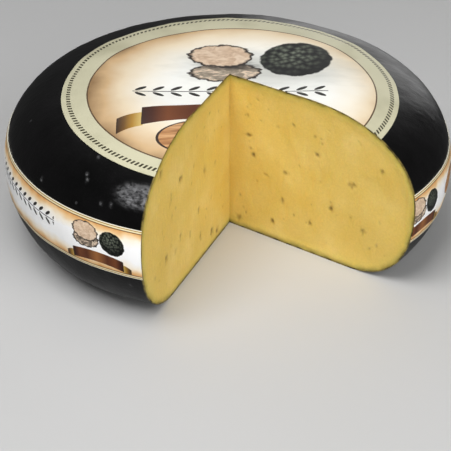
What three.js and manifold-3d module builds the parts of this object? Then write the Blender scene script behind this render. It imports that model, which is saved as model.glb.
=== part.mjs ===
// A small Gouda-style truffle cheese wheel with one wedge cut out of it.
//
// Millimetres, +Z up. The origin is where the wheel's axis meets the surface it lies on.
// The wheel is four things laid over each other, all cut through by the same two knife strokes:
//   cheese_paste   the cheese itself, pressed and ripened in one piece
//   black_coating  the plastic coat brushed over its whole outside
//   top_label      the round paper label, stuck on a little off centre
//   side_label     the paper band round the side
import * as THREE from "three";
import { mergeVertices } from "three/addons/utils/BufferGeometryUtils.js";
import Module from "manifold-3d";

const wasm = await Module();
wasm.setup();

// ---- The wheel, measured over its coating ----
const WHEEL_RADIUS = 125; // at the widest part of the side
const WHEEL_HEIGHT = 95; // from the base to the top face
const BULGE_HEIGHT = 48.5; // height at which the side is widest
const TOP_FLAT_RADIUS = 56.5; // the top face is flat out to here
const BASE_FLAT_RADIUS = 82; // the base is flat out to here
// How full each shoulder is: its curve's handles as shares of its width and its height.
// A quarter ellipse has 0.55 for both, and larger shares make a squarer shoulder.
const TOP_SHOULDER = { across: 0.5, down: 0.7 };
const BASE_SHOULDER = { across: 0.55, down: 0.73 };

// ---- The layers ----
const COATING_THICKNESS = 0.8; // several brushed coats
const LABEL_THICKNESS = 0.4;
const LAYER_GAP = 0.3; // clearance between one layer and the next

// ---- The labels ----
const TOP_LABEL_RADIUS = 92;
const TOP_LABEL_CENTRE = new THREE.Vector2(9.6, -13.8);
const SIDE_LABEL_LOW = 31.5; // height of the band's lower edge
const SIDE_LABEL_WIDTH = 29;

// ---- The wedge that was cut out ----
const WEDGE_TIP = new THREE.Vector2(1.3, 0.3); // where the two cuts meet, close to the axis
const WEDGE_ANGLE = 74; // degrees between the two cuts
const WEDGE_DIRECTION = -45; // degrees from +X to the middle of the wedge

// ---- How finely round shapes are divided ----
const TURN_STEPS = 72;
const SHOULDER_STEPS = 9;
const LABEL_STEPS = 96;

const CUTTER_REACH = 3; // cutting blocks are this many wheel sizes long, so that they pass right through it

// One shoulder: a curve that leaves a flat face level and meets the side upright.
function shoulder(flatRadius, faceHeight, fullness) {
  const width = WHEEL_RADIUS - flatRadius;
  const rise = faceHeight - BULGE_HEIGHT;
  return new THREE.CubicBezierCurve(
    new THREE.Vector2(flatRadius, faceHeight),
    new THREE.Vector2(flatRadius + fullness.across * width, faceHeight),
    new THREE.Vector2(WHEEL_RADIUS, BULGE_HEIGHT + fullness.down * rise),
    new THREE.Vector2(WHEEL_RADIUS, BULGE_HEIGHT),
  );
}

// Points along a shoulder from the flat face to the side, each moved outwards by offset.
// side is 1 above the widest part and -1 below it, where outwards is the other hand of the curve.
function offsetShoulder(curve, side, offset) {
  return Array.from({ length: SHOULDER_STEPS + 1 }, (_, i) => {
    const t = i / SHOULDER_STEPS;
    const along = curve.getTangent(t);
    const outwards = new THREE.Vector2(-along.y, along.x).multiplyScalar(side);
    return curve.getPoint(t).addScaledVector(outwards, offset);
  });
}

// The wheel's half section from the axis at the base round to the axis at the top, moved outwards by offset.
function halfSection(offset) {
  const base = offsetShoulder(shoulder(BASE_FLAT_RADIUS, 0, BASE_SHOULDER), -1, offset);
  const top = offsetShoulder(shoulder(TOP_FLAT_RADIUS, WHEEL_HEIGHT, TOP_SHOULDER), 1, offset);
  return [
    new THREE.Vector2(0, -offset),
    ...base,
    ...top.reverse().slice(1),
    new THREE.Vector2(0, WHEEL_HEIGHT + offset),
  ];
}

// A manifold solid from a closed three.js geometry.
function solidFrom(geometry) {
  geometry.deleteAttribute("normal");
  geometry.deleteAttribute("uv");
  const merged = mergeVertices(geometry, 1e-4);
  return new wasm.Manifold(
    new wasm.Mesh({
      numProp: 3,
      vertProperties: merged.attributes.position.array,
      triVerts: new Uint32Array(merged.index.array),
    }),
  );
}

// A three.js geometry from a manifold solid.
function geometryFrom(solid) {
  const mesh = solid.getMesh();
  return new THREE.BufferGeometry()
    .setAttribute("position", new THREE.BufferAttribute(mesh.vertProperties, 3))
    .setIndex(new THREE.BufferAttribute(mesh.triVerts, 1));
}

// The whole wheel, grown by offset.
function wheel(offset) {
  return solidFrom(new THREE.LatheGeometry(halfSection(offset), TURN_STEPS).rotateX(Math.PI / 2));
}

// Everything the two knife strokes took away: a prism that runs past the wheel on every side.
function wedge() {
  const reach = CUTTER_REACH * WHEEL_RADIUS;
  const half = WEDGE_ANGLE / 2;
  const far = [WEDGE_DIRECTION - half, WEDGE_DIRECTION + half].map((angle) => {
    const turn = THREE.MathUtils.degToRad(angle);
    return new THREE.Vector2(Math.cos(turn), Math.sin(turn)).multiplyScalar(reach).add(WEDGE_TIP);
  });
  const outline = new THREE.Shape([WEDGE_TIP, ...far]);
  const depth = CUTTER_REACH * WHEEL_HEIGHT;
  const prism = new THREE.ExtrudeGeometry(outline, { depth, bevelEnabled: false });
  return solidFrom(prism.translate(0, 0, -WHEEL_HEIGHT));
}

function cheesePaste() {
  return wheel(-COATING_THICKNESS - LAYER_GAP);
}

function blackCoating() {
  return wheel(0).subtract(wheel(-COATING_THICKNESS));
}

// The sheet of paper that would cover the whole coating. Both labels are pieces of it.
function paperLayer() {
  return wheel(LAYER_GAP + LABEL_THICKNESS).subtract(wheel(LAYER_GAP));
}

// An upright round block from one height to another, to cut a label out of the paper with.
function punch(radius, centre, low, high) {
  const block = new THREE.CylinderGeometry(radius, radius, high - low, LABEL_STEPS).rotateX(Math.PI / 2);
  return solidFrom(block.translate(centre.x, centre.y, (low + high) / 2));
}

// The round label runs over the top shoulder. However large it is, it stops short of the band.
function topLabel() {
  const low = SIDE_LABEL_LOW + SIDE_LABEL_WIDTH + LAYER_GAP;
  return paperLayer().intersect(punch(TOP_LABEL_RADIUS, TOP_LABEL_CENTRE, low, CUTTER_REACH * WHEEL_HEIGHT));
}

function sideLabel() {
  const axis = new THREE.Vector2(0, 0);
  const high = SIDE_LABEL_LOW + SIDE_LABEL_WIDTH;
  return paperLayer().intersect(punch(CUTTER_REACH * WHEEL_RADIUS, axis, SIDE_LABEL_LOW, high));
}

const MATERIALS = {
  cheese: new THREE.MeshStandardMaterial({ color: 0xd8b259, roughness: 0.55, metalness: 0 }),
  coating: new THREE.MeshStandardMaterial({ color: 0x0c0b0c, roughness: 0.35, metalness: 0 }),
  paper: new THREE.MeshStandardMaterial({ color: 0xeadfc4, roughness: 0.6, metalness: 0 }),
};

const cheeseWheel = new THREE.Group();
const cut = wedge();

function add(name, whole, material) {
  const mesh = new THREE.Mesh(geometryFrom(whole.subtract(cut)), material);
  mesh.name = name;
  cheeseWheel.add(mesh);
}

add("cheese_paste", cheesePaste(), MATERIALS.cheese);
add("black_coating", blackCoating(), MATERIALS.coating);
add("top_label", topLabel(), MATERIALS.paper);
add("side_label", sideLabel(), MATERIALS.paper);

export default cheeseWheel;
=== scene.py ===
# %% [markdown]
# # A truffle cheese wheel with one wedge cut out
#
# This lesson dresses a plain model of a cheese wheel. The plain model gives the sizes: a round body of
# cheese, a thin black coat over all of it, a round paper label on top and a paper band round the side, with
# two knife cuts that meet near the middle. Each plain piece is replaced by a finely meshed one.
#
# We work in millimetres inside the functions, because that is how a cheese is measured, and change to
# Blender's metres only when a mesh is made.

# %% Load the plain model
from math import cos, radians, sin, tau

import bmesh
import bpy
import numpy as np
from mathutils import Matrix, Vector


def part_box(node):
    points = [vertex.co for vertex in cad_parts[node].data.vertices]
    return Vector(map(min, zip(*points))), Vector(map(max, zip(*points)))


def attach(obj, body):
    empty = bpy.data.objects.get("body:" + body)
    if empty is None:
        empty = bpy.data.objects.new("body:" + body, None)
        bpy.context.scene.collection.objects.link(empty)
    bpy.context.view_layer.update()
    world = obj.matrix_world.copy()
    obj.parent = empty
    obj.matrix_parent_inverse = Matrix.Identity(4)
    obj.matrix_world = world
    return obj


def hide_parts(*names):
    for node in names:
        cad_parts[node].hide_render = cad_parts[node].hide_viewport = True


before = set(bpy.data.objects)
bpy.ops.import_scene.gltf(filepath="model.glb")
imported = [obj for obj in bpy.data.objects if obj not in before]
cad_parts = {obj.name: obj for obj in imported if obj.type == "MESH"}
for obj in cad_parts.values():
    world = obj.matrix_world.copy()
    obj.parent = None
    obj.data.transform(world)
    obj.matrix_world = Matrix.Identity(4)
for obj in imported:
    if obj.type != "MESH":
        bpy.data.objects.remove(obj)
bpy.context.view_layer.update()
MM = 0.001

# %% [markdown]
# ## The camera
#
# A long lens keeps the wheel's ellipses calm,. The camera stands to the right of the front and looks down
# into the cut. It aims a little below the wheel, so the wheel sits high and the counter in front of the cut
# has room.

# %% Camera
CAMERA_TURN = 29.39  # degrees round from the front, anticlockwise from above
CAMERA_RISE = 27.61  # degrees above the counter, seen from the middle of the wheel
CAMERA_DISTANCE = 1092.6  # mm from the middle of the wheel
CAMERA_HEADING = 29.45  # where the lens points, seen from above
CAMERA_PITCH = 29.88  # degrees that the lens points down
LENS = 154.5  # mm

coat_low, coat_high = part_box("black_coating")
WHEEL_RADIUS = (coat_high[0] - coat_low[0]) / 2 / MM
WHEEL_HEIGHT = coat_high[2] / MM


def around(turn, rise, distance, height=WHEEL_HEIGHT / 2):
    """A point in metres, seen from the wheel's axis: turn and rise in degrees, the rest in mm."""
    out = distance * cos(radians(rise))
    x, y = out * sin(radians(turn)), -out * cos(radians(turn))
    return Vector((x, y, height + distance * sin(radians(rise)))) * MM


def add_object(name, data):
    """Puts a new object in the scene."""
    made = bpy.data.objects.new(name, data)
    bpy.context.scene.collection.objects.link(made)
    return made


camera = add_object("camera", bpy.data.cameras.new("camera"))
camera.location = around(CAMERA_TURN, CAMERA_RISE, CAMERA_DISTANCE)
camera.rotation_euler = (radians(90 - CAMERA_PITCH), 0, radians(CAMERA_HEADING))
camera.data.lens = LENS
bpy.context.scene.camera = camera
print("camera at", tuple(round(v, 3) for v in camera.location))

# %% [markdown]
# ## The light
#
# Cheese looks best in broad, soft light, but the black coat mirrors every lamp, and it should stay black
# with only a few quiet sheens. So the two lamps that do the work, a high one on the left and a wide one
# that fills the cut from in front, are left out of the reflections. Two others are only mirrored: one low
# behind the wheel on the right, which draws a grey sheen along the far shoulder, and a high one that does
# the same for someone who walks round to the back.

# %% Lamps
LAMP_DISTANCE = 1500  # mm from the wheel


def hang_lamp(name, turn, rise, size, power, only_mirrored=False):
    """A soft square lamp that shines at the wheel, or is only mirrored in it."""
    light = bpy.data.lights.new(name, "AREA")
    light.shape = "SQUARE"
    light.size = size
    light.energy = power
    lamp = add_object(name, light)
    lamp.location = around(CAMERA_TURN + turn, rise, LAMP_DISTANCE)
    lamp.rotation_euler = (-lamp.location).to_track_quat("-Z", "Y").to_euler()
    lamp.visible_glossy = only_mirrored
    lamp.visible_diffuse = not only_mirrored
    lamp.visible_camera = False


hang_lamp("high_left_lamp", turn=-40, rise=62, size=1.1, power=20.5)
hang_lamp("front_lamp", turn=30, rise=24, size=1.4, power=18.5)
hang_lamp("shoulder_sheen", turn=162, rise=6, size=0.8, power=2.2, only_mirrored=True)
hang_lamp("back_sheen", turn=180, rise=60, size=1.0, power=5, only_mirrored=True)

bpy.context.scene.view_settings.view_transform = "Standard"

# %% [markdown]
# ## Small tools for materials
#
# Colours are written as hex codes, and Blender's shaders want linear light, so one function changes them.
# Another adds a node: its settings are named arguments, and its inputs are values or other nodes, which get
# linked. So every material below reads as a list of steps.

# %% Material tools


def colour(code):
    """Linear red, green, blue and alpha from a hex colour such as D8B259."""
    shares = [int(code[i : i + 2], 16) / 255 for i in (0, 2, 4)]
    return tuple(s / 12.92 if s <= 0.04045 else ((s + 0.055) / 1.055) ** 2.4 for s in shares) + (1.0,)


def fill(tree, target, inputs):
    """Sets inputs of a node to values, or links them to other nodes."""
    for name, value in inputs.items():
        if isinstance(value, bpy.types.Node):
            value = value.outputs[0]
        if isinstance(value, bpy.types.NodeSocket):
            tree.links.new(value, target.inputs[name])
        else:
            target.inputs[name].default_value = value


def node(tree, kind, inputs=None, stops=None, **settings):
    """Adds a node with its settings, colour stops and links, and returns it."""
    made = tree.nodes.new("ShaderNode" + kind)
    for name, value in settings.items():
        setattr(made, name, value)
    fill(tree, made, inputs or {})
    for i, (place, code, *alpha) in enumerate(stops or []):
        marks = made.color_ramp.elements
        mark = marks[i] if i < 2 else marks.new(place)
        mark.position = place
        mark.color = colour(code)[:3] + tuple(alpha or (1.0,))
    return made


def start_material(name, **finish):
    """An empty material whose shader has the given constant finish. Returns it, its tree and its shader."""
    material = bpy.data.materials.new(name)
    material.use_nodes = True
    tree = material.node_tree
    shader = tree.nodes["Principled BSDF"]
    fill(tree, shader, {name.replace("_", " "): value for name, value in finish.items()})
    return material, tree, shader


# %% [markdown]
# ## The counter and the room
#
# The wheel lies on a plain pale counter. It only has to catch the soft shadow, so it is one large sheet
# with a faint unevenness. Mirrored in the coat it would be a wide bright band, so it is left out of the
# reflections, and the room shows there in its place: nearly dark all round, and dim grey straight below,
# which gives the underside its shape.

# %% Counter and room
COUNTER_SIZE = 6000
ROOM_LIGHT, LIGHT_FROM_BELOW = 0.06, 0.32

material, tree, shader = start_material("pale_counter", Roughness=0.7)
place = node(tree, "TexCoord").outputs["Object"]
cloud = node(tree, "TexNoise", {"Vector": place, "Scale": 3.0, "Detail": 2.0})
tone = node(tree, "ValToRGB", {"Fac": cloud}, stops=[(0.3, "C2C2C1"), (0.7, "C6C6C6")])
fill(tree, shader, {"Base Color": tone})

half = COUNTER_SIZE / 2 * MM
mesh = bpy.data.meshes.new("counter")
mesh.from_pydata([(-half, -half, 0), (half, -half, 0), (half, half, 0), (-half, half, 0)], [], [(0, 1, 2, 3)])
mesh.materials.append(material)
counter = add_object("counter", mesh)
counter.visible_glossy = False

world = bpy.data.worlds.new("studio")
world.use_nodes = True
tree = world.node_tree
direction = node(tree, "TexCoord").outputs["Generated"]
height = node(tree, "SeparateXYZ", {0: direction}).outputs["Z"]
strength = node(tree, "MapRange", {
    "Value": height, "From Min": -0.3, "From Max": -0.95, "To Min": ROOM_LIGHT, "To Max": LIGHT_FROM_BELOW})
fill(tree, tree.nodes["Background"], {"Strength": strength, "Color": colour("FFFFFF")})
bpy.context.scene.world = world

# %% [markdown]
# ## The shape of the wheel
#
# A pressed cheese is flat on top and underneath, where it lay on its board, and bulges at the side. Its
# section is four pieces: a flat, a curved shoulder down to the widest point, a curved shoulder in to the
# base, and a flat. Each shoulder is a Bezier curve whose two handles say how square it is. The numbers are
# the ones that the plain model was drawn with.

# %% Half section
BULGE_HEIGHT = 48.5
TOP_FLAT_RADIUS = 56.5
BASE_FLAT_RADIUS = 82
TOP_FULLNESS = (0.5, 0.7)
BASE_FULLNESS = (0.55, 0.73)


def shoulder(flat_radius, face, fullness, steps):
    """Radius and height along a shoulder from the flat to the widest point, and the outward normal there."""
    across, upright = fullness
    handles = np.array([
        (flat_radius, face),
        (flat_radius + across * (WHEEL_RADIUS - flat_radius), face),
        (WHEEL_RADIUS, BULGE_HEIGHT + upright * (face - BULGE_HEIGHT)),
        (WHEEL_RADIUS, BULGE_HEIGHT),
    ])
    t = np.linspace(0, 1, steps + 1)[:, None]
    weights = np.hstack([(1 - t) ** 3, 3 * t * (1 - t) ** 2, 3 * t**2 * (1 - t), t**3])
    slopes = np.hstack([(1 - t) ** 2, 2 * t * (1 - t), t**2])
    along = slopes @ np.diff(handles, axis=0)
    side = 1 if face > BULGE_HEIGHT else -1
    normal = np.column_stack([-along[:, 1], along[:, 0]]) * side
    return weights @ handles, normal / np.linalg.norm(normal, axis=1, keepdims=True)


def curved_side(top_steps, base_steps, offset=0.0):
    """The curved side, moved outwards, from the edge of the top flat to that of the base flat."""
    top, top_normal = shoulder(TOP_FLAT_RADIUS, WHEEL_HEIGHT, TOP_FULLNESS, top_steps)
    base, base_normal = shoulder(BASE_FLAT_RADIUS, 0, BASE_FULLNESS, base_steps)
    points = np.vstack([top, base[-2::-1]])
    normals = np.vstack([top_normal, base_normal[-2::-1]])
    return points + normals * offset, normals


SECTION_STEPS = 40

side_points, _ = curved_side(SECTION_STEPS, SECTION_STEPS)
widest = side_points[:, 0].argmax()
print("widest radius", side_points[widest, 0], "mm at height", side_points[widest, 1])

# %% [markdown]
# ## The two cuts
#
# Both knife strokes end in one upright line close to the middle. Everything left of the wheel can be seen
# from that line: walk away from it in any direction that isn't in the missing wedge, and you cross the
# wheel's skin once. So every skin below is a fan of rays from that line. Its first and last rays lie
# exactly in the cuts, and no boolean is needed.

# %% Rays from the line where the cuts meet
CUT_LINE = np.array([1.3, 0.3])
WEDGE_ANGLE = 74
WEDGE_DIRECTION = -45
RIGHT_CUT = radians(WEDGE_DIRECTION + WEDGE_ANGLE / 2)
LEFT_CUT = radians(WEDGE_DIRECTION - WEDGE_ANGLE / 2) + tau


def rays(count):
    """Unit directions that fan from the right-hand cut round the back to the left-hand one."""
    turn = np.linspace(RIGHT_CUT, LEFT_CUT, count + 1)
    return np.column_stack([np.cos(turn), np.sin(turn)])


def reach(directions, radius, centre=(0.0, 0.0)):
    """How far each ray runs before it crosses a circle about centre."""
    start = CUT_LINE - centre
    ahead = directions @ start
    return -ahead + np.sqrt(ahead**2 + radius**2 - start @ start)


def out_along(directions, lengths):
    """Points in the plane at the given lengths along each ray."""
    return CUT_LINE + directions * np.asarray(lengths)[..., None]


# %% [markdown]
# ## Lumps
#
# No ripened cheese is a perfect turning. `swell` gives a smooth random height that changes over a chosen
# number of millimetres. It adds up waves that run in random directions, with a fixed seed, so that the
# result is always the same. The cheese, the coat and both labels all move with the same large lumps, so
# they stay on each other. The top has also sunk a little in the middle, as pressed cheeses do.

# %% Random swell
WAVES = 18


def swell(points, wavelength, seed):
    """A smooth random number at each point, mostly between -1 and 1."""
    draw = np.random.default_rng(seed)
    ways = draw.normal(size=(WAVES, 3))
    ways *= draw.uniform(0.7, 1.5, (WAVES, 1)) / np.linalg.norm(ways, axis=1, keepdims=True)
    total = np.zeros(points.shape[:-1])
    for way, phase in zip(ways, draw.uniform(0, tau, WAVES)):
        total += np.sin(points @ way * tau / wavelength + phase)
    return total / np.sqrt(WAVES)


def unevenness(points, kinds):
    """Adds up swells. Each kind is a height in mm, a width in mm and a seed."""
    return sum(high * swell(points, wide, seed) for high, wide, seed in kinds)


BIG_LUMPS = [(0.35, 90, 1), (0.12, 32, 2)]
DISH = 1.0  # mm that the middle of the top has sunk


def big_lumps(points):
    """How far the wheel's own surface stands out from the ideal one, in mm."""
    away = np.linalg.norm(points[..., :2], axis=-1)
    dish = np.clip(1 - (away / TOP_FLAT_RADIUS) ** 2, 0, 1) ** 1.5 * (points[..., 2] > BULGE_HEIGHT)
    return unevenness(points, BIG_LUMPS) - DISH * dish


# %% [markdown]
# ## From grids to meshes
#
# Every surface here is a grid: rows of points along rays or heights. `net` numbers the quads of a grid, and
# `weld` turns several grids into one mesh object and joins the vertices that share a place, so that the
# grids close into a solid. Its faces are turned outwards at the end, and its steep edges are kept sharp.

# %% Grid tools
WELD_DISTANCE = 0.002 * MM
SHARP = radians(50)


def net(rows, columns, start=0):
    """The quads of a grid of vertices, numbered row by row from start."""
    i, j = np.meshgrid(np.arange(rows - 1), np.arange(columns - 1), indexing="ij")
    corner = (start + i * columns + j).ravel()
    return np.column_stack([corner, corner + 1, corner + columns + 1, corner + columns])


def edge_strips(face, back, rows=()):
    """Strips that close the gap between two sheets, at both ends and along the given rows."""
    along = [np.stack([face[k], back[k]]) for k in rows]
    return along + [np.stack([face[:, k], back[:, k]]) for k in (0, -1)]


def weld(name, grids, marks=None):
    """One smooth closed object from grids of points in mm. marks holds extra values for every point."""
    start, quads = 0, []
    for grid in grids:
        quads.append(net(*grid.shape[:2], start))
        start += grid.shape[0] * grid.shape[1]
    mesh = bpy.data.meshes.new(name)
    points = np.vstack([grid.reshape(-1, 3) for grid in grids])
    mesh.from_pydata(points * MM, [], np.vstack(quads).tolist())
    for mark, values in (marks or {}).items():
        layer = mesh.attributes.new(mark, "FLOAT", "POINT")
        layer.data.foreach_set("value", np.concatenate([v.ravel() for v in values]).astype(np.float32))
    work = bmesh.new()
    work.from_mesh(mesh)
    bmesh.ops.remove_doubles(work, verts=work.verts, dist=WELD_DISTANCE)
    bmesh.ops.recalc_face_normals(work, faces=work.faces)
    for face in work.faces:
        face.smooth = True
    for edge in work.edges:
        edge.smooth = edge.calc_face_angle(0) < SHARP
    open_edges = sum(len(edge.link_faces) != 2 for edge in work.edges)
    work.to_mesh(mesh)
    work.free()
    piece = add_object(name, mesh)
    print(f"{name}: {len(mesh.polygons)} faces, {open_edges} open edges")
    return piece


def finish_piece(piece, material, cad_node):
    """Dresses a piece, hangs it on the root body and hides the plain piece that it stands for."""
    piece.data.materials.append(material)
    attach(piece, "root")
    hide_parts(cad_node)


# %% [markdown]
# ## The skin of the wheel
#
# `skin` lays a grid over the whole outside: along each ray from the cut line over the top flat, down the
# curved side and back in over the base. With an offset it gives the inside of the coat too.

# %% Skin of the wheel


def skin(directions, flat_steps, top_steps, base_steps, offset=0.0):
    """Points and normals, (stations, rays, 3), from the top of the cut line round to its foot."""
    curve, curve_normals = curved_side(top_steps, base_steps, offset)
    shares = np.linspace(0, 1, flat_steps + 1)[:-1, None]
    top = reach(directions, curve[0, 0])[None] * shares
    base = reach(directions, curve[-1, 0])[None] * shares[::-1]
    side = np.array([reach(directions, r) for r in curve[:, 0]])
    flat = out_along(directions, np.vstack([top, side, base]))
    levels = [np.full(flat_steps, curve[0, 1]), curve[:, 1], np.full(flat_steps, curve[-1, 1])]
    heights = np.concatenate(levels)
    points = np.dstack([flat, np.repeat(heights[:, None], len(directions), axis=1)])
    up = np.concatenate([np.ones(flat_steps), curve_normals[:, 1], -np.ones(flat_steps)])
    out = np.concatenate([np.zeros(flat_steps), curve_normals[:, 0], np.zeros(flat_steps)])
    away = flat / np.maximum(np.linalg.norm(flat, axis=2, keepdims=True), 1e-6)
    normals = np.dstack([away * out[:, None, None], np.repeat(up[:, None], len(directions), axis=1)])
    return points, normals


# %% [markdown]
# ## The black coat
#
# The coat is a water-based plastic that is brushed on in several layers while the cheese ripens. It keeps
# mould out and the moisture in. It is under a millimetre thick, so we make a real shell of that thickness:
# an outer and an inner skin, closed by the thin rim that shows at the cuts. Brushing leaves long low
# ripples. Next to the cut the coat is crinkled and scuffed pale where the knife dragged at it, and the tops
# of its folds are painted paler still as painted highlights. Here and there a small blister carries a
# painted glint, a pale dot in its colour. Each point remembers how pale it is painted, and how much cheese
# the knife smeared over it at the rim.

# %% Shape of the coat
COAT_THICKNESS = 0.8
COAT_RAYS, LINING_RAYS = 680, 72  # the inner skin is hidden, so it is coarser
COAT_STEPS = (8, 64, 50)  # over each flat, down the top shoulder, and in to the base
SETTLE_HEIGHT = 6  # lumps fade out over these lowest mm, so that the wheel lies flat
BRUSH_RIPPLES = [(0.05, 14, 3), (0.025, 6, 4)]
CRINKLES = (12, -114.3, 74.5)  # the middle of the crinkled place
CRINKLE_REACH, CRINKLE_DEPTH = 10.5, 0.3
ALONG_KNIFE = np.array([0.85, 0.4, 2.2])  # the crinkled place is about twice as long as it is high
BLISTERS = [
    (-19.6, -101.9, 83.9), (-21.1, -110.3, 77.5), (-19.6, -112.8, 75.4), (-1.3, -119.4, 69.1),
    (-7.1, -119.6, 68.4), (-50.8, -109.7, 66.4), (10.4, -121.1, 25.9),
]
# mm: how high a blister stands, how far it swells, and how far its painted glint reaches
BLISTER_HEIGHT, BLISTER_REACH, GLINT_REACH = 0.2, 0.9, 0.7


def settle(height):
    """1 where lumps are free to stand out, falling to 0 at the counter."""
    return np.clip(height / SETTLE_HEIGHT, 0, 1)


def lumpy_skin(directions, flat_steps, top_steps, base_steps, offset=0.0):
    """The wheel's skin with its large lumps, and its normals."""
    points, normals = skin(directions, flat_steps, top_steps, base_steps, offset)
    return points + normals * (big_lumps(points) * settle(points[..., 2]))[..., None], normals


def near(points, middle, distance, power=2):
    """1 at a place on the coat, falling off to nothing past the given distance in mm."""
    return np.exp(-(np.linalg.norm(points - np.array(middle), axis=-1) / distance) ** power)


def coat_ripples(points):
    """Height in mm of ripples, crinkles and blisters, and paleness: scuffed, with painted highlights and
    glints.
    """
    height = unevenness(points, BRUSH_RIPPLES)
    pale = np.zeros_like(height)
    stretched = points * ALONG_KNIFE
    folds = 1 - np.abs(swell(stretched, 7.0, seed=5)) + 0.3 * swell(stretched, 4.0, seed=6)
    here = near(stretched, CRINKLES * ALONG_KNIFE, CRINKLE_REACH, power=6)
    height += here * CRINKLE_DEPTH * folds
    # Scuffed pale, and painted paler still on the fold tops as a painted highlight.
    pale = np.maximum(pale, here * np.clip(0.35 + 0.45 * folds, 0, 1))
    for middle in BLISTERS:
        height += BLISTER_HEIGHT * near(points, middle, BLISTER_REACH)
        # A pale dot on each blister: a painted glint.
        pale = np.maximum(pale, 0.75 * near(points, middle, GLINT_REACH))
    return height, pale


smooth, outer_normals = lumpy_skin(rays(COAT_RAYS), *COAT_STEPS)
ripples, pale = coat_ripples(smooth)
outer = smooth + outer_normals * (ripples * settle(smooth[..., 2]))[..., None]
inner, _ = lumpy_skin(rays(LINING_RAYS), *COAT_STEPS, -COAT_THICKNESS)
smeared = np.zeros_like(pale)
smeared[:, [0, -1]] = 1
marks = {
    "pale": [pale, np.zeros(inner.shape[:2])] + edge_strips(pale, pale),
    "smeared": [smeared, np.ones(inner.shape[:2])] + edge_strips(smeared, smeared),
}
coat = weld("coat", [outer, inner] + edge_strips(outer, inner), marks)

# %% [markdown]
# ## Finish of the coat
#
# Dried polymer coating: a dielectric with an index near 1.49, black right through, brushed, so its gloss is
# uneven. Where the brush left more it is smoother. The roughness wanders over a few centimetres, and a bump
# of orange peel about 1.5 mm across breaks up the reflections.

# %% Black coating material
material, tree, shader = start_material("black_cheese_coating", IOR=1.49)
place = node(tree, "TexCoord").outputs["Object"]
patches = node(tree, "TexNoise", {"Vector": place, "Scale": 35.0, "Detail": 4.0, "Roughness": 0.6})
tone = node(tree, "ValToRGB", {"Fac": patches}, stops=[(0.3, "040404"), (0.75, "0D0C0D")])
pinheads = node(tree, "TexVoronoi", {"Vector": place, "Scale": 90.0})
pinhead = node(tree, "MapRange", {"Value": pinheads, "From Min": 0.1, "From Max": 0.05})
chosen = node(tree, "SeparateColor", {"Color": pinheads.outputs["Color"]})
chosen = node(tree, "Math", {0: chosen, 1: 0.8}, operation="GREATER_THAN")
pinhead = node(tree, "Math", {0: pinhead, 1: chosen}, operation="MULTIPLY")
pale = node(tree, "Attribute", attribute_name="pale").outputs["Fac"]
drawn = node(tree, "Mapping", {"Vector": place, "Scale": (0.7, 0.3, 1.6)})
streaks = node(tree, "TexNoise", {"Vector": drawn, "Scale": 560.0, "Detail": 3.0, "Distortion": 0.6})
streak = node(tree, "MapRange", {
    "Value": streaks, "From Min": 0.36, "From Max": 0.64, "To Min": 0.1, "To Max": 0.8})
pale = node(tree, "Math", {0: pale, 1: streak}, operation="MULTIPLY")
# The pale colour is scuffing plus painted highlights and glints, and a faint painted glint on each chosen
# pinhead.
scuff_and_glint = node(tree, "Math", {0: pinhead, 1: 0.1, 2: pale}, operation="MULTIPLY_ADD", use_clamp=True)
greyed = node(tree, "Mix", {0: scuff_and_glint, 6: tone, 7: colour("9A9A9C")}, data_type="RGBA")
smear = node(tree, "Attribute", attribute_name="smeared").outputs["Fac"]
patchy = node(tree, "TexNoise", {"Vector": place, "Scale": 220.0, "Detail": 2.0})
film = node(tree, "ValToRGB", {"Fac": patchy}, stops=[(0.35, "3A331C"), (0.6, "8C7C40")])
smeared = node(tree, "Mix", {0: smear, 6: greyed.outputs[2], 7: film}, data_type="RGBA")
gloss = node(tree, "MapRange", {
    "Value": patches, "From Min": 0.3, "From Max": 0.7, "To Min": 0.28, "To Max": 0.44})
matted = node(tree, "Math", {0: scuff_and_glint, 1: 0.4, 2: gloss}, operation="MULTIPLY_ADD")
peel = node(tree, "TexNoise", {"Vector": place, "Scale": 700.0, "Detail": 2.0})
relief = node(tree, "Math", {0: pinhead, 1: 1.5, 2: peel}, operation="MULTIPLY_ADD")
bump = node(tree, "Bump", {"Height": relief, "Strength": 0.35, "Distance": 0.0003})
fill(tree, shader, {"Base Color": smeared.outputs[2], "Roughness": matted, "Normal": bump})
finish_piece(coat, material, "black_coating")

# %% [markdown]
# ## The cheese
#
# The cheese fills the coat. Only its two cut faces show, so they get a fine grid, and the hidden skin a
# coarse one. A cut face is bounded by the cut line and by the end ray of the hidden skin: along the top,
# down the curved side and back along the base. Filling that outline by blending its opposite sides gives a
# grid with neat cells that meets the skin exactly, and no hole can open.

# %% Grid of a cut face
FACE_COLUMNS = 205
FACE_TOP_STEPS = 82
FACE_BASE_STEPS = 78
HIDDEN_RAYS = 36
PASTE_INSET = COAT_THICKNESS - 0.05  # the cheese just bites into the coat, so no gap shows

hidden, _ = lumpy_skin(
    rays(HIDDEN_RAYS), FACE_COLUMNS, FACE_TOP_STEPS, FACE_BASE_STEPS, -PASTE_INSET)


def cut_face(edge):
    """Fills the outline that an end ray of the hidden skin draws. Rows run down, columns away."""
    last = FACE_COLUMNS + FACE_TOP_STEPS + FACE_BASE_STEPS
    top, side, base = edge[: FACE_COLUMNS + 1], edge[FACE_COLUMNS : last + 1], edge[last:][::-1]
    out = np.linspace(0, 1, len(top))[None, :, None]
    down = np.linspace(0, 1, len(side))[:, None, None]
    line = top[0] * (1 - down) + base[0] * down
    filled = line * (1 - out) + side[:, None] * out
    filled += (1 - down) * (top - top[0] * (1 - out) - top[-1] * out)
    return filled + down * (base - base[0] * (1 - out) - base[-1] * out)


def depth_under_rind(away, height):
    """How deep each point of a cut face lies under its outline, in mm."""
    outline = [(away[k], height[k]) for k in (0, -1)] + [(away[:, -1], height[:, -1])]
    deep = np.full(away.shape, np.inf)
    for x, z in np.hstack(outline).T:
        deep = np.minimum(deep, np.hypot(away - x, height - z))
    return deep
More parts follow.
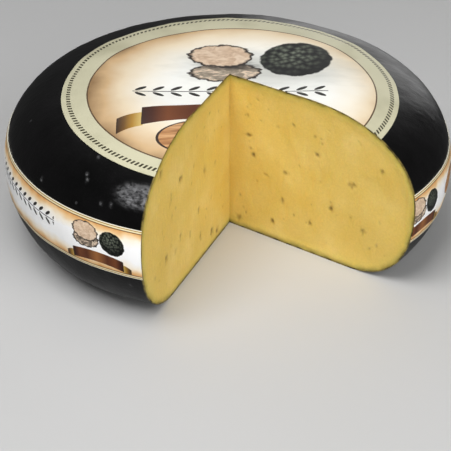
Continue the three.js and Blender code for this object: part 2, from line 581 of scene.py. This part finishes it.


# %% [markdown]
# ## Pits, slits and truffle
#
# The knife shows what is in the paste: bits of black truffle, a few torn slits, and pinhead eyes. Each is a
# mark with a place on its face, a width, a height and a depth. The larger ones are listed and a seeded
# draw scatters small ones. A mark sinks the surface and is also written to the mesh as a number for how
# dark it is there: truffle takes its brown-black colour, and the eyes and slits take painted shade.

# %% Marks on the cut faces
# mm from the cut line, mm above the counter, width, height, depth, and how dark, as truffle colour and as
# painted shade in a hollow: 1 is black truffle
LEFT_MARKS = [
    (70.9, 64.2, 3.4, 2.8, 0.8, 0.9), (37.1, 52.3, 2.6, 4.2, 0.4, 0.5), (22.0, 49.6, 2.4, 2.4, 0.3, 0.35),
    (84.1, 59.4, 2.2, 4.2, 0.4, 0.35), (46.0, 32.3, 1.8, 2.6, 0.5, 0.6), (72.0, 30.0, 1.9, 3.8, 0.4, 0.5),
    (59.1, 23.8, 1.9, 3.2, 0.4, 0.45), (44.4, 15.1, 1.8, 3.8, 0.5, 0.55), (27.2, 8.7, 3.0, 4.0, 0.8, 0.85),
    (19.4, 5.0, 3.6, 3.0, 0.5, 0.7), (79.2, 24.4, 2.4, 2.4, 0.3, 0.3), (92.2, 26.9, 2.6, 3.8, 0.7, 0.7),
    (97.0, 80.5, 3.2, 4.6, 0.5, 0.65), (83.7, 47.7, 2.0, 3.0, 0.3, 0.3), (27.6, 31.1, 2.0, 3.0, 0.2, 0.25),
]
RIGHT_MARKS = [
    (13.7, 60.7, 3.4, 1.8, 0.7, 0.7), (17.0, 49.7, 2.3, 2.2, 0.7, 0.75), (39.2, 45.0, 2.8, 1.8, 0.5, 0.5),
    (36.8, 26.6, 2.1, 2.4, 0.6, 0.65), (30.6, 11.3, 2.3, 2.2, 0.7, 0.75), (44.0, 76.0, 1.8, 1.6, 0.4, 0.4),
    (25.8, 39.4, 3.0, 1.6, 0.4, 0.3), (6.7, 5.4, 3.6, 3.0, 0.5, 0.5), (60.0, 63.0, 2.6, 2.0, 0.6, 0.65),
    (70.0, 33.0, 2.2, 3.4, 0.7, 0.75), (83.0, 52.0, 3.2, 2.2, 0.7, 0.8), (91.0, 26.0, 2.0, 3.4, 0.6, 0.6),
    (102.0, 66.0, 2.2, 2.2, 0.5, 0.6), (56.0, 19.0, 2.0, 2.6, 0.5, 0.6),
]
SMALL_MARKS = 40
SMALL_AWAY, SMALL_HEIGHT = (6, 108), (8, 88)  # where they may lie, in mm


def with_small_marks(marks, seed):
    """Adds small scattered specks and eyes to the listed marks."""
    draw = np.random.default_rng(seed)
    for _ in range(SMALL_MARKS):
        size = draw.uniform(0.7, 1.5)
        tall = size * draw.uniform(0.8, 1.8)
        place = draw.uniform(*SMALL_AWAY), draw.uniform(*SMALL_HEIGHT)
        marks = marks + [(*place, size, tall, 0.3 * size, draw.uniform(0.1, 0.5))]
    return marks


def press_marks(away, height, marks, seed):
    """Depth in mm and darkness from 0 to 1 that the marks give every point of a face."""
    place = np.stack([away, height, np.zeros_like(away)], axis=-1)
    ragged = swell(place, 3.0, seed)
    depth, dark = np.zeros_like(away), np.zeros_like(away)
    for x, z, wide, tall, deep, black in marks:
        off = np.hypot((away - x) / wide, (height - z) / tall) * 2 + 0.35 * ragged
        depth = np.maximum(depth, deep * np.exp(-np.maximum(off, 0) ** 2))
        # The darkness is truffle colour, and in the eyes and slits painted shade of the hollow.
        dark = np.maximum(dark, black * np.exp(-np.maximum(off, 0) ** 2 / 1.3))
    return depth, dark


# %% [markdown]
# ## Closing the cheese
#
# The blade leaves the faces a little wavy, with long faint scores where it went down. Near the coat the
# paste is drier and stands a little proud. All this fades out at the edges, where the face meets the hidden
# skin and the other face.

# %% Shape of the cheese
SCORE_STRETCH = 0.15  # scores are long and upright
LIP_HEIGHT, LIP_DEPTH, LIP_WIDTH = 0.25, 2.5, 2.0  # the drier paste near the coat, in mm
FADE_AT_LINE, FADE_AT_RIND = 2.5, 0.9


def cheese_face(edge, direction, outwards, marks, seed):
    """Points of one cut face, how deep each lies under the rind, and its darkness: truffle and painted shade.
    """
    flat = cut_face(edge)
    away, height = (flat[..., :2] - CUT_LINE) @ direction, flat[..., 2]
    depth = depth_under_rind(away, height)
    level = np.full_like(away, 7.0 * seed)
    stroke = np.stack([away, height * SCORE_STRETCH, level], axis=-1)
    place = np.stack([away, height, level], axis=-1)
    pits, dark = press_marks(away, height, with_small_marks(marks, seed), seed)
    wavy = unevenness(place, [(0.25, 45, seed + 20), (0.05, 9, seed + 21)])
    scores = 0.035 * swell(stroke, 2.2, seed + 22)
    proud = LIP_HEIGHT * np.exp(-((depth - LIP_DEPTH) / LIP_WIDTH) ** 2)
    fade = np.clip(away / FADE_AT_LINE, 0, 1) * np.clip(depth / FADE_AT_RIND, 0, 1)
    shift = (wavy + scores + proud - pits) * fade
    return flat + np.array([*outwards, 0]) * shift[..., None], depth, dark


right, left = rays(1)
right_face, right_depth, right_dark = cheese_face(
    hidden[:, 0], right, (right[1], -right[0]), RIGHT_MARKS, seed=11)
left_face, left_depth, left_dark = cheese_face(
    hidden[:, -1], left, (-left[1], left[0]), LEFT_MARKS, seed=12)
inside = np.zeros(hidden.shape[:2])
marks = {"rind_depth": [right_depth, left_depth, inside], "truffle": [right_dark, left_dark, inside]}
cheese = weld("cheese", [right_face, left_face, hidden], marks)

# %% [markdown]
# ## Finish of the cheese
#
# A young semi-hard cheese: fatty, smooth and slightly translucent, so light enters it and comes back
# warmer. The paste is butter yellow with soft cloudy variation over a centimetre or two. Under the coat it
# is drier and turns olive over a few millimetres. Truffle is brown-black, and the eyes and slits are given
# the same dark colour as painted shade. A knife leaves a satin face that is a little smoother where it
# smeared the fat.

# %% Cheese material
material, tree, shader = start_material(
    "semi_hard_cheese", IOR=1.45,
    Subsurface_Weight=0.25, Subsurface_Radius=(1.0, 0.5, 0.15), Subsurface_Scale=0.004)
place = node(tree, "TexCoord").outputs["Object"]
cloud = node(tree, "TexNoise", {"Vector": place, "Scale": 45.0, "Detail": 3.0, "Roughness": 0.55})
paste = node(tree, "ValToRGB", {"Fac": cloud}, stops=[(0.3, "D8B75A"), (0.55, "DCBE66"), (0.75, "E3C777")])
depth = node(tree, "Attribute", attribute_name="rind_depth").outputs["Fac"]
uneven = node(tree, "TexNoise", {"Vector": place, "Scale": 160.0, "Detail": 2.0})
edge = node(tree, "Math", {0: uneven, 1: 3.0, 2: depth}, operation="MULTIPLY_ADD")
edge = node(tree, "MapRange", {"Value": edge, "From Min": 1.2, "From Max": 11.0})
rind = node(tree, "ValToRGB", {"Fac": edge}, stops=[
    (0.0, "80702F"), (0.12, "AA9A49"), (0.4, "CEBB5D"), (1.0, "DFBD68")])
cover = node(tree, "ValToRGB", {"Fac": edge}, stops=[(0.0, "FFFFFF"), (0.35, "A0A0A0"), (1.0, "000000")])
toned = node(tree, "Mix", {0: cover, 6: paste, 7: rind}, data_type="RGBA")
crumb = node(tree, "TexNoise", {"Vector": place, "Scale": 900.0, "Detail": 3.0})
grit = node(tree, "MapRange", {
    "Value": crumb, "From Min": 0.35, "From Max": 0.65, "To Min": 0.96, "To Max": 1.03})
grained = node(
    tree, "Mix", {0: 1.0, 6: toned.outputs[2], 7: grit}, data_type="RGBA", blend_type="MULTIPLY")
# Truffle colour, and painted shade in the eyes and slits of the cut faces.
truffle = node(tree, "Attribute", attribute_name="truffle").outputs["Fac"]
inky = node(tree, "Mix", {0: truffle, 6: grained.outputs[2], 7: colour("5A3C12")}, data_type="RGBA")
streaks = node(tree, "Mapping", {"Vector": place, "Scale": (1.0, 1.0, 0.06)})
scores = node(tree, "TexNoise", {"Vector": streaks, "Scale": 800.0, "Detail": 2.0})
rough = node(tree, "MapRange", {
    "Value": cloud, "From Min": 0.3, "From Max": 0.7, "To Min": 0.48, "To Max": 0.62})
blade = node(tree, "Bump", {"Height": scores, "Strength": 0.25, "Distance": 0.0003})
pores = node(tree, "Bump", {"Height": crumb, "Strength": 0.25, "Distance": 0.0004, "Normal": blade})
fill(tree, shader, {"Base Color": inky.outputs[2], "Roughness": rough, "Normal": pores})
finish_piece(cheese, material, "cheese_paste")

# %% [markdown]
# ## Paper on the wheel
#
# Both labels are thin paper glued onto the coat. The round one is a flat disc that is pressed down over the
# shoulder, so its edge lies at the same distance from its middle along the paper, not seen from above. We
# measure that distance over the wheel for every point, use it to find the edge, and keep it with the mesh:
# the print is drawn from these paper millimetres. Paper can't stretch, so round the edge it puckers into
# small radial waves.

# %% Shape of the round label
LABEL_RADIUS = 92.6
LABEL_CENTRE = np.array([9.6, -13.8])
PAPER_TOP = 0.4
PAPER_UNDER = 0.0
LABEL_RAYS = 480
LABEL_RINGS = 72
PATH_POINTS = 50
SHOULDER_STEPS = 200
PUCKER_START, PUCKER_REACH, PUCKER_HEIGHT = 70, 23, 0.22  # mm from the middle, and mm high at the edge


def paper_length(ends):
    """How far plan points lie from the label's middle, measured along the paper, in mm."""
    share = np.linspace(0, 1, PATH_POINTS)[:, None]
    path = LABEL_CENTRE + (ends - LABEL_CENTRE)[..., None, :] * share
    top_radius, top_height = side_points[: SECTION_STEPS + 1].T
    height = np.interp(np.linalg.norm(path, axis=-1), top_radius, top_height)
    run = np.linalg.norm(np.diff(path, axis=-2), axis=-1)
    return np.hypot(run, np.diff(height, axis=-1)).sum(axis=-1)


def paper_place(plan):
    """Paper coordinates of plan points, for someone in front of the cut: x to the right, y away."""
    spoke = plan - LABEL_CENTRE
    spoke *= (paper_length(plan) / np.maximum(np.linalg.norm(spoke, axis=-1), 1e-6))[..., None]
    turn = radians(CAMERA_TURN)
    return spoke @ (cos(turn), sin(turn)), spoke @ (-sin(turn), cos(turn))


def on_wheel(flat, offset):
    """Lays plan points on the top half of the wheel, lifted off it by offset mm, lumps and all."""
    top, top_normals = shoulder(TOP_FLAT_RADIUS, WHEEL_HEIGHT, TOP_FULLNESS, SHOULDER_STEPS)
    away = np.linalg.norm(flat, axis=-1)
    height = np.interp(away, top[:, 0], top[:, 1])
    out = np.interp(away, top[:, 0], top_normals[:, 0], left=0.0)
    up = np.sqrt(1 - out**2)
    points = np.dstack([flat, height])
    normals = np.dstack([flat / np.maximum(away, 1e-6)[..., None] * out[..., None], up])
    return points + normals * (offset + big_lumps(points))[..., None]


def puckers(flat):
    """Small radial waves of the paper near the label's edge, in mm."""
    spoke = flat - LABEL_CENTRE
    away = np.linalg.norm(spoke, axis=-1)
    turn = np.arctan2(spoke[..., 1], spoke[..., 0])
    fade = np.clip((away - PUCKER_START) / PUCKER_REACH, 0, 1) ** 2
    waves = np.sin(turn * 23 + 2 * np.sin(turn * 3)) * np.sin(turn * 5 + 1.3)
    return PUCKER_HEIGHT * fade * np.maximum(waves, -0.2)


def sheet_marks(x, y, rows):
    """Paper coordinates for the face, the back and the edges of a label."""
    return {name: [v, v] + edge_strips(v, v, rows) for name, v in (("paper_x", x), ("paper_y", y))}


directions = rays(LABEL_RAYS)
edge = reach(directions, LABEL_RADIUS, LABEL_CENTRE)
for _ in range(10):  # each pass brings it closer to where the paper ends
    edge += 0.7 * (LABEL_RADIUS - paper_length(out_along(directions, edge)))
plan = out_along(directions, edge * np.linspace(0, 1, LABEL_RINGS + 1)[:, None])
face = on_wheel(plan, PAPER_TOP + puckers(plan))
back = on_wheel(plan, PAPER_UNDER)
paper_x, paper_y = paper_place(plan)
marks = sheet_marks(paper_x, paper_y, [-1])
label = weld("round_label", [face, back] + edge_strips(face, back, [-1]), marks)
narrowest = np.linalg.norm(plan[-1] - LABEL_CENTRE, axis=1).min()
print("label edge from above:", narrowest.round(1), "mm at its narrowest")

# %% [markdown]
# The band is a strip of the same paper round the bulge. Its two ends overlap at the back, where the machine
# closed it, so there the paper stands up by its own thickness once more.

# %% Shape of the band
BAND_LOW, BAND_HIGH = 31.5, 60.5
BAND_ROWS = 30
BAND_RAYS = 580
BAND_LEAN, LEAN_TURN = 1.6, radians(182)  # laid on by hand, it is this many mm higher on the left
OVERLAP_MIDDLE, OVERLAP_WIDTH = radians(128), radians(6)
PAPER_THICKNESS = 0.3
SIDE_STEPS = 120


def round_side(directions, heights, offset):
    """Points on the side of the wheel at the given heights, lifted by offset mm."""
    curve, curve_normals = curved_side(SIDE_STEPS, SIDE_STEPS)
    radius, out, up = (
        np.interp(heights, curve[::-1, 1], values[::-1])
        for values in (curve[:, 0], curve_normals[:, 0], curve_normals[:, 1])
    )
    flat = out_along(directions, reach(directions, radius))
    away = flat / np.linalg.norm(flat, axis=2, keepdims=True)
    points, normals = np.dstack([flat, heights]), np.dstack([away * out[..., None], up])
    return points + normals * (offset + big_lumps(points))[..., None]


directions = rays(BAND_RAYS)
turn = np.arctan2(directions[:, 1], directions[:, 0])
across_band = np.linspace(BAND_HIGH, BAND_LOW, BAND_ROWS + 1)[:, None]
heights = across_band + BAND_LEAN * np.cos(turn - LEAN_TURN)
doubled = np.where(np.abs(turn - OVERLAP_MIDDLE) < OVERLAP_WIDTH / 2, PAPER_THICKNESS, 0.0)
face = round_side(directions, heights, PAPER_TOP + doubled)
back = round_side(directions, heights, PAPER_UNDER)
paper_x = np.unwrap(np.arctan2(face[..., 1], face[..., 0]), axis=1) * WHEEL_RADIUS
paper_y = across_band - (BAND_LOW + BAND_HIGH) / 2 + 0 * heights
marks = sheet_marks(paper_x, paper_y, [0, -1])
band = weld("side_band", [face, back] + edge_strips(face, back, [0, -1]), marks)

# %% [markdown]
# ## What is printed on the paper
#
# The labels are offset printed: a tan and white ground with pictures of truffle, a ribbon and an oval seal.
# All of it is drawn by the material from the paper's own millimetres, so it stays sharp from close by. Each
# picture is a function that lays its ink over what is already printed. Most start from an oval whose edge a
# noise makes ragged.

# %% Ink tools


def print_over(tree, under, ink, cover):
    """Lays an ink over the print so far where cover is 1, and returns the new colour."""
    return node(tree, "Mix", {0: cover, 6: under, 7: ink}, data_type="RGBA").outputs[2]


def ragged_oval(tree, place, middle, size, turn=0.0, ragged=0.0):
    """Coordinates in an oval, and the distance from its middle, where its edge lies at 1."""
    moved = {"Vector": place, "Location": (*middle, 0), "Scale": (*size, 1)}
    moved["Rotation"] = (0, 0, radians(turn))
    inside = node(tree, "Mapping", moved, vector_type="TEXTURE")
    away = node(tree, "VectorMath", {0: inside}, operation="LENGTH").outputs["Value"]
    torn = node(tree, "TexNoise", {"Vector": inside, "Scale": 3.5, "Detail": 3.0}, noise_dimensions="2D")
    torn = node(tree, "Math", {0: torn, 1: 0.5}, operation="SUBTRACT")
    return inside, node(tree, "Math", {0: torn, 1: ragged, 2: away}, operation="MULTIPLY_ADD")


def print_truffle_slice(tree, under, place, middle, size, turn, flesh="D9BEA2", shade="C7A98D"):
    """A thin slice of truffle: pinkish flesh with paler veins inside a ragged black skin."""
    inside, edge = ragged_oval(tree, place, middle, size, turn, ragged=0.3)
    veins = node(tree, "TexNoise", {"Vector": inside, "Scale": 3.0, "Detail": 5.0, "Distortion": 1.2})
    flesh = node(tree, "ValToRGB", {"Fac": veins}, stops=[(0.36, shade), (0.5, flesh), (0.6, "E4CDB4")])
    skin = node(tree, "MapRange", {"Value": edge, "From Min": 0.86, "From Max": 0.93})
    whole = node(tree, "Mix", {0: skin, 6: flesh, 7: colour("2B211C")}, data_type="RGBA")
    cover = node(tree, "MapRange", {"Value": edge, "From Min": 1.02, "From Max": 0.98})
    return print_over(tree, under, whole.outputs[2], cover)


def print_whole_truffle(tree, under, place, middle, size, turn):
    """A whole black truffle: knobs that catch a grey light from above, with black between them."""
    inside, edge = ragged_oval(tree, place, middle, size, turn, ragged=0.14)
    cells = {"Vector": inside, "Scale": 5.0}
    knobs = node(tree, "TexVoronoi", cells, voronoi_dimensions="2D", distance="MANHATTAN")
    grain = node(tree, "ValToRGB", {"Fac": knobs}, stops=[(0.1, "747B6B"), (0.45, "474C42"), (0.8, "0B0C0B")])
    off = node(tree, "VectorMath", {0: inside, 1: (-0.2, 0.25, 0)}, operation="DISTANCE")
    light = node(tree, "MapRange", {
        "Value": off.outputs["Value"], "From Min": 0.1, "From Max": 1.15, "To Min": 1.0, "To Max": 0.06})
    lit = node(tree, "Mix", {0: 1.0, 6: grain, 7: light}, data_type="RGBA", blend_type="MULTIPLY")
    cover = node(tree, "MapRange", {"Value": edge, "From Min": 1.02, "From Max": 0.97})
    return print_over(tree, under, lit.outputs[2], cover)


def print_soft_shadow(tree, under, place, middle, size, strength, tone="8F9186"):
    """The soft grey shadow that the pictured truffles lie in."""
    _, edge = ragged_oval(tree, place, middle, size, ragged=0.6)
    cover = node(tree, "MapRange", {"Value": edge, "From Min": 1.0, "From Max": 0.3, "To Max": strength})
    return print_over(tree, under, colour(tone), cover)


def print_ribbon_part(tree, under, place, start, end, middle, drop, half_width, stops):
    """One stretch of ribbon, the same on both sides, from start to end mm from the middle."""
    x, y, _ = node(tree, "SeparateXYZ", {0: place}).outputs
    x = node(tree, "Math", {0: x}, operation="ABSOLUTE")
    along = node(tree, "MapRange", {"Value": x, "From Min": start, "From Max": end}, clamp=False)
    bend = node(tree, "Math", {0: along, 1: 2.0}, operation="POWER")
    bend = node(tree, "Math", {0: bend, 1: drop, 2: y}, operation="MULTIPLY_ADD")
    off = node(tree, "Math", {0: bend, 1: middle}, operation="SUBTRACT")
    off = node(tree, "Math", {0: off}, operation="ABSOLUTE")
    within = node(tree, "Math", {0: off, 1: half_width}, operation="LESS_THAN")
    between = node(tree, "Math", {0: along, 1: 0.5, 2: 0.5}, operation="COMPARE")
    cover = node(tree, "Math", {0: within, 1: between}, operation="MULTIPLY")
    silk = node(tree, "ValToRGB", {"Fac": along}, stops=stops)
    return print_over(tree, under, silk, cover)


RIBBON_FRONT = [(0.0, "9C6230"), (0.4, "5A2A0E"), (0.7, "743E1A"), (0.88, "421A07"), (1.0, "2E1103")]
RIBBON_TAIL = [(0.0, "D8BC70"), (0.4, "A87C22"), (0.7, "6A4716"), (1.0, "2A190A")]


def print_ribbon(tree, under, place, half_length, middle, drop, half_width):
    """A satin ribbon: two gold tails, and a brown stretch in front of them."""
    tail = half_length * 0.28
    under = print_ribbon_part(
        tree, under, place, half_length - 1, half_length + tail, middle - drop - half_width * 0.35, drop,
        half_width * 0.75, RIBBON_TAIL)
    return print_ribbon_part(tree, under, place, 0, half_length, middle, drop, half_width, RIBBON_FRONT)


def print_seal(tree, under, place, middle, size):
    """An oval seal: wood grain inside a dark line."""
    inside, edge = ragged_oval(tree, place, middle, size)
    bent = node(tree, "Mapping", {"Vector": inside, "Scale": (0.35, 2.2, 1.0)})
    grain = node(tree, "TexNoise", {"Vector": bent, "Scale": 3.0, "Detail": 4.0, "Distortion": 0.8})
    wood = node(tree, "ValToRGB", {"Fac": grain}, stops=[(0.35, "8E5C33"), (0.5, "B98552"), (0.65, "D2A473")])
    line = node(tree, "Math", {0: edge, 1: 0.962}, operation="GREATER_THAN")
    whole = node(tree, "Mix", {0: line, 6: wood, 7: colour("2E1A10")}, data_type="RGBA")
    cover = node(tree, "Math", {0: edge, 1: 1.0}, operation="LESS_THAN")
    return print_over(tree, under, whole.outputs[2], cover)


def print_sprig(tree, under, place, middle, half_length, tall):
    """A row of leaves on a stem, where a maker would put a name."""
    x, y, _ = node(tree, "SeparateXYZ", {0: place}).outputs
    x = node(tree, "Math", {0: x, 1: middle[0]}, operation="SUBTRACT")
    y = node(tree, "Math", {0: y, 1: middle[1]}, operation="SUBTRACT")
    above = node(tree, "Math", {0: y}, operation="ABSOLUTE")
    step = tall * 0.36
    cell = node(tree, "Math", {0: x, 1: step, 2: -step}, operation="WRAP")
    leaf = node(tree, "CombineXYZ", {"X": cell, "Y": above})
    _, edge = ragged_oval(tree, leaf, (0, tall * 0.27), (tall * 0.28, tall * 0.1), turn=38)
    leaf = node(tree, "Math", {0: edge, 1: 1.0}, operation="LESS_THAN")
    stem = node(tree, "Math", {0: above, 1: tall * 0.03}, operation="LESS_THAN")
    ink = node(tree, "Math", {0: leaf, 1: stem}, operation="MAXIMUM")
    far = node(tree, "Math", {0: x}, operation="ABSOLUTE")
    inside = node(tree, "Math", {0: far, 1: half_length}, operation="LESS_THAN")
    cover = node(tree, "Math", {0: ink, 1: inside}, operation="MULTIPLY")
    return print_over(tree, under, colour("26241F"), cover)


# %% [markdown]
# ## Paper finish
#
# Both labels are the same coated paper: white, satin from its clay coating, with a fine tooth. The gloss is
# a little higher than on bare paper and wanders slightly.

# %% Paper finish


def finish_paper(tree, shader, ink):
    """Links the print and gives the paper its tooth and its satin."""
    place = node(tree, "TexCoord").outputs["Object"]
    tooth = node(tree, "TexNoise", {"Vector": place, "Scale": 1500.0, "Detail": 2.0})
    waves = node(tree, "TexNoise", {"Vector": place, "Scale": 60.0, "Detail": 1.0})
    low = node(tree, "Bump", {"Height": waves, "Strength": 0.15, "Distance": 0.002})
    bump = node(tree, "Bump", {"Height": tooth, "Strength": 0.2, "Distance": 0.0002, "Normal": low})
    satin = node(tree, "MapRange", {
        "Value": waves, "From Min": 0.3, "From Max": 0.7, "To Min": 0.36, "To Max": 0.5})
    fill(tree, shader, {"Base Color": ink, "Roughness": satin, "Normal": bump})


# %% [markdown]
# ## Print of the round label
#
# A cream ring with a fine border of slanted ticks surrounds a round picture. The picture is white in the
# middle and turns peach and tan towards a thin dark line. The picture was printed a few millimetres off the
# ring's centre.

# %% Material of the round label
TICKS = 210  # one about every 2.7 mm of the border
TICK_RING, TICK_HALF = 88.6, 1.15
PICTURE_RADIUS = 78.6
PICTURE_OFF = (0.9, -3.7)
PICTURE_LIGHT = (9, -2)  # the brightest place of the picture, and its edge is darkest opposite


def paper_millimetres(tree):
    """The paper coordinates that the mesh carries, apart and as one vector."""
    x, y = (node(tree, "Attribute", attribute_name=name).outputs["Fac"] for name in ("paper_x", "paper_y"))
    return x, y, node(tree, "CombineXYZ", {"X": x, "Y": y})


material, tree, shader = start_material("printed_round_label", IOR=1.5)
x, y, place = paper_millimetres(tree)
away = node(tree, "VectorMath", {0: place}, operation="LENGTH").outputs["Value"]
from_picture = node(tree, "VectorMath", {0: place, 1: (*PICTURE_OFF, 0)}, operation="DISTANCE")
from_picture = from_picture.outputs["Value"]
mottle = node(tree, "TexNoise", {"Vector": place, "Scale": 0.035, "Detail": 3.0})
mottle = node(tree, "Math", {0: mottle, 1: 0.5}, operation="SUBTRACT")
glow = node(tree, "VectorMath", {0: place, 1: (*PICTURE_LIGHT, 0)}, operation="DISTANCE").outputs["Value"]
glow = node(tree, "Math", {0: mottle, 1: 18.0, 2: glow}, operation="MULTIPLY_ADD")
glow = node(tree, "MapRange", {"Value": glow, "From Min": 0.0, "From Max": PICTURE_RADIUS + 8})
ground = node(tree, "ValToRGB", {"Fac": glow}, stops=[
    (0.5, "FAFAF4"), (0.66, "F6EEDD"), (0.8, "E9D7B8"), (0.92, "CDAC80"), (1.0, "947550")])
ink = print_soft_shadow(tree, ground, place, (24, 24), (62, 30), 0.45)
ink = print_truffle_slice(tree, ink, place, (-2.6, 17.5), (20.3, 12), 6, flesh="A39684", shade="8A7D6C")
ink = print_soft_shadow(tree, ink, place, (-1, 26.5), (20, 8), 0.95, tone="1C1410")
ink = print_truffle_slice(tree, ink, place, (-5.4, 39.5), (18.3, 15), -4)
ink = print_whole_truffle(tree, ink, place, (36.8, 33.8), (20.1, 20.8), -12)
ink = print_ribbon(tree, ink, place, 47, -31.5, 4.5, 8.8)
ink = print_seal(tree, ink, place, (0, -57.3), (39, 17.3))
ink = print_sprig(tree, ink, place, (0, -7), 53, 13.5)
border = node(tree, "ValToRGB", {"Fac": mottle}, stops=[(0.0, "C9C5A8"), (0.2, "BBB79A")])
outside = node(tree, "Math", {0: from_picture, 1: PICTURE_RADIUS}, operation="GREATER_THAN")
ink = print_over(tree, ink, border, outside)
line = node(tree, "Math", {0: from_picture, 1: PICTURE_RADIUS, 2: 0.4}, operation="COMPARE")
ink = print_over(tree, ink, colour("5B4630"), line)
turn = node(tree, "Math", {0: y, 1: x}, operation="ARCTAN2")
turn = node(tree, "Math", {0: turn, 1: TICKS / tau}, operation="MULTIPLY")
slant = node(tree, "Math", {0: away, 1: 0.22, 2: turn}, operation="MULTIPLY_ADD")
tick = node(tree, "Math", {0: slant, 1: 1.0}, operation="FLOORED_MODULO")
tick = node(tree, "Math", {0: tick, 1: 0.5, 2: 0.27}, operation="COMPARE")
on_ring = node(tree, "Math", {0: away, 1: TICK_RING, 2: TICK_HALF}, operation="COMPARE")
tick = node(tree, "Math", {0: tick, 1: on_ring}, operation="MULTIPLY")
ink = print_over(tree, ink, colour("3E3A2A"), tick)
finish_paper(tree, shader, ink)
finish_piece(label, material, "top_label")

# %% [markdown]
# ## Print of the band
#
# The band repeats a smaller version of the same pictures four times round the cheese. Its paper millimetres
# run along the band and up it.

# %% Material of the band
REPEATS = 4
PICTURE_TURN = radians(-93.4)  # where the truffles stand, left of the left-hand cut
PICTURE_LEFT = -130  # mm from the truffles to the left end of one picture

material, tree, shader = start_material("printed_side_band", IOR=1.5)
x, up, _ = paper_millimetres(tree)
along = node(tree, "Math", {0: x, 1: PICTURE_TURN * WHEEL_RADIUS}, operation="SUBTRACT")
picture_width = tau * WHEEL_RADIUS / REPEATS
along = node(tree, "Math", {0: along, 1: PICTURE_LEFT + picture_width, 2: PICTURE_LEFT}, operation="WRAP")
place = node(tree, "CombineXYZ", {"X": along, "Y": up})
mottle = node(tree, "TexNoise", {"Vector": place, "Scale": 0.08, "Detail": 2.0})
mottle = node(tree, "Math", {0: mottle, 1: 0.5}, operation="SUBTRACT")
share = node(tree, "Math", {0: up}, operation="ABSOLUTE")
share = node(tree, "MapRange", {"Value": share, "From Max": (BAND_HIGH - BAND_LOW) / 2})
uneven = node(tree, "Math", {0: mottle, 1: 0.5, 2: share}, operation="MULTIPLY_ADD")
ground = node(tree, "ValToRGB", {"Fac": uneven}, stops=[
    (0.3, "FFFFFF"), (0.55, "FCF1DD"), (0.72, "F0CC98"), (0.86, "D89E5C"), (0.95, "B9773A")])
ink = print_truffle_slice(tree, ground, place, (-6.6, 2), (8.6, 4.6), 5, flesh="8E8070", shade="5E5246")
ink = print_ribbon(tree, ink, place, 16, -6.8, 2.0, 3.2)
ink = print_truffle_slice(tree, ink, place, (-7.3, 6.4), (8.5, 5.2), -4)
ink = print_whole_truffle(tree, ink, place, (9.5, 3.4), (7.7, 6.4), -25)
ink = print_sprig(tree, ink, place, (-66, 3.5), 36, 8.5)
ink = print_seal(tree, ink, place, (43, 0.5), (13, 7.5))
edges = node(tree, "ValToRGB", {"Fac": share}, stops=[
    (0.85, "6B4420", 0.0), (0.865, "6B4420"), (0.885, "6B4420"), (0.895, "EADDB4"), (0.93, "EADDB4"),
    (0.945, "A8853A"), (0.965, "A8853A"), (0.98, "F4EFDC")])
ink = print_over(tree, ink, edges, edges.outputs["Alpha"])
finish_paper(tree, shader, ink)
finish_piece(band, material, "side_label")
